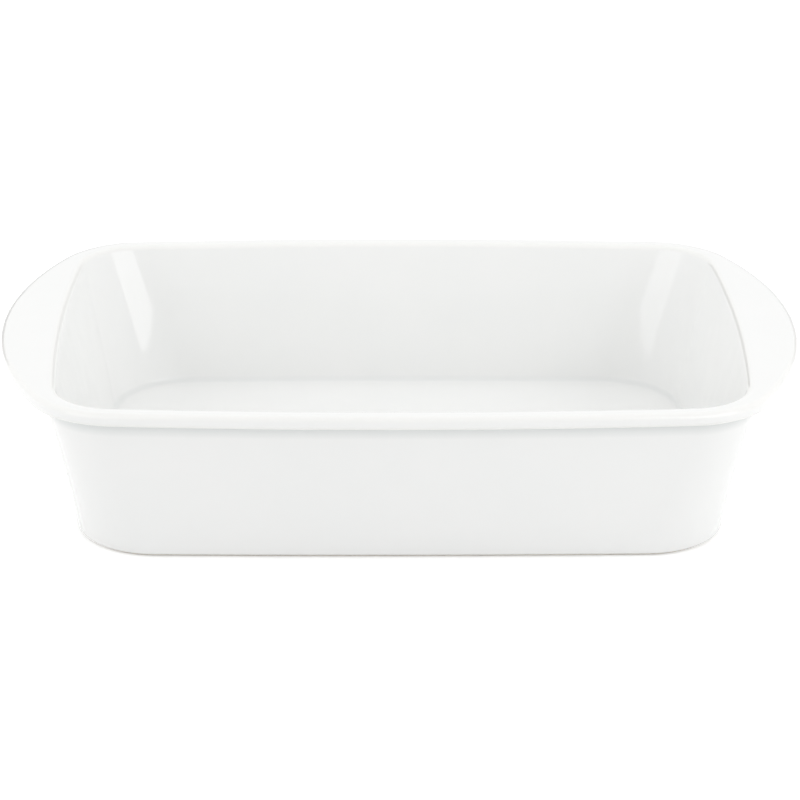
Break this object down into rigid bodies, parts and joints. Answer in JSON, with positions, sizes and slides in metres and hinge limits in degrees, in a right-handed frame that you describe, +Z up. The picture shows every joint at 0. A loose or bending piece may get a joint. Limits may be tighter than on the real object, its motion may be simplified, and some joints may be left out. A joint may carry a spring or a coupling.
{
  "type": "lasagna dish",
  "caption": "Rectangular glazed porcelain baking dish with leaning walls, a rolled rim and a crescent handle at each short end, for baking and serving lasagna.",
  "frame": {"origin": "under the middle of the dish, on the surface that the foot ring stands on", "axes": "+X along the length towards one handle, +Y across the width, +Z up"},
  "size_m": [0.391, 0.2504, 0.0781],
  "materials": {
    "porcelain": "unglazed, fine matt",
    "glaze": "gloss white"
  },
  "bodies": {
    "root": {"porcelain_body": "porcelain", "glaze_coat": "glaze", "base_glaze": "glaze"}
  },
  "joints": []
}
